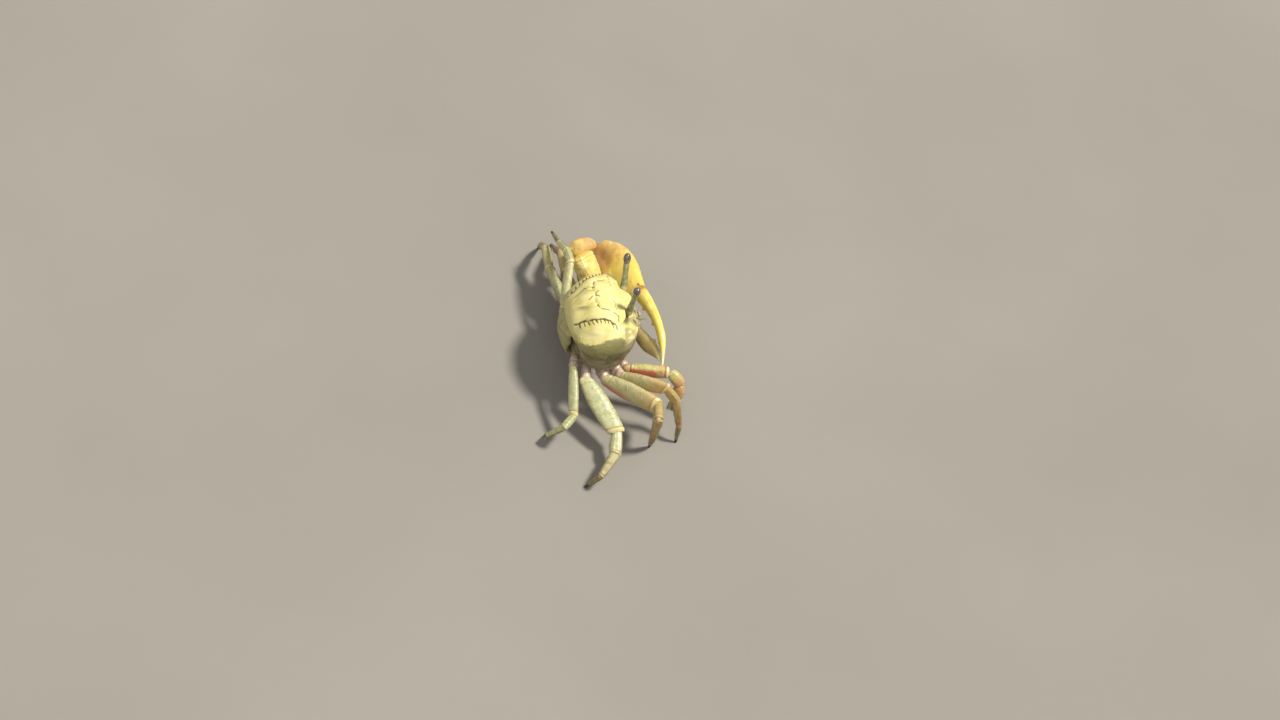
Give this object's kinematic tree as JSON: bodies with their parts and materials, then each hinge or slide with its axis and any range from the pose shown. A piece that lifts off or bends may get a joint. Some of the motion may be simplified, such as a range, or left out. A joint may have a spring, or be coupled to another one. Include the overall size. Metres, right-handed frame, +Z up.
{
  "type": "fiddler crab",
  "caption": "Male fiddler crab standing on its jointed legs, one large yellow claw held across its face, eyes raised on long stalks.",
  "frame": {"origin": "on the floor, under the middle of the crab's bounding box", "axes": "+Z up; the crab faces -Y, its left side with the large claw is towards +X"},
  "size_m": [0.079, 0.034, 0.0345],
  "materials": {
    "carapace_shell": "satin shell, pale yellow above and dark olive down the sides",
    "belly_shell": "satin pale brown shell",
    "eyestalk_shell": "satin olive shell",
    "cornea": "glossy dark cornea",
    "feeler": "satin olive shell",
    "coxa_shell": "moist pinkish shell",
    "leg_shell": "satin olive shell with cross bands",
    "toe_shell": "matte dark brown horn",
    "claw_arm_shell": "satin pale yellow shell",
    "claw_palm_shell": "granular golden orange shell",
    "claw_finger_shell": "smooth bright yellow shell",
    "feeder_arm_shell": "satin crimson shell"
  },
  "bodies": {
    "root": {"carapace": "carapace_shell", "thorax": "belly_shell", "abdomen": "belly_shell", "left_eyestalk": "eyestalk_shell", "left_eye": "cornea", "left_antenna": "feeler", "right_eyestalk": "eyestalk_shell", "right_eye": "cornea", "right_antenna": "feeler", "right_leg_1_coxa": "coxa_shell", "right_leg_1_merus": "leg_shell", "right_leg_1_carpus": "leg_shell", "right_leg_1_propodus": "leg_shell", "right_leg_1_dactyl": "toe_shell", "right_leg_2_coxa": "coxa_shell", "right_leg_2_merus": "leg_shell", "right_leg_2_carpus": "leg_shell", "right_leg_2_propodus": "leg_shell", "right_leg_2_dactyl": "toe_shell", "right_leg_3_coxa": "coxa_shell", "right_leg_3_merus": "leg_shell", "right_leg_3_carpus": "leg_shell", "right_leg_3_propodus": "leg_shell", "right_leg_3_dactyl": "toe_shell", "right_leg_4_coxa": "coxa_shell", "right_leg_4_merus": "leg_shell", "right_leg_4_carpus": "leg_shell", "right_leg_4_propodus": "leg_shell", "right_leg_4_dactyl": "toe_shell", "left_leg_1_coxa": "coxa_shell", "left_leg_1_merus": "leg_shell", "left_leg_1_carpus": "leg_shell", "left_leg_1_propodus": "leg_shell", "left_leg_1_dactyl": "toe_shell", "left_leg_2_coxa": "coxa_shell", "left_leg_2_merus": "leg_shell", "left_leg_2_carpus": "leg_shell", "left_leg_2_propodus": "leg_shell", "left_leg_2_dactyl": "toe_shell", "left_leg_3_coxa": "coxa_shell", "left_leg_3_merus": "leg_shell", "left_leg_3_carpus": "leg_shell", "left_leg_3_propodus": "leg_shell", "left_leg_3_dactyl": "toe_shell", "left_leg_4_coxa": "coxa_shell", "left_leg_4_merus": "leg_shell", "left_leg_4_carpus": "leg_shell", "left_leg_4_propodus": "leg_shell", "left_leg_4_dactyl": "toe_shell", "claw_coxa": "coxa_shell", "claw_merus": "claw_arm_shell", "claw_carpus": "claw_palm_shell", "claw_manus": "claw_palm_shell", "claw_dactyl": "claw_finger_shell", "feeder_coxa": "coxa_shell", "feeder_merus": "feeder_arm_shell", "feeder_carpus": "claw_arm_shell", "feeder_manus": "feeder_arm_shell", "feeder_dactyl": "toe_shell"}
  },
  "joints": []
}
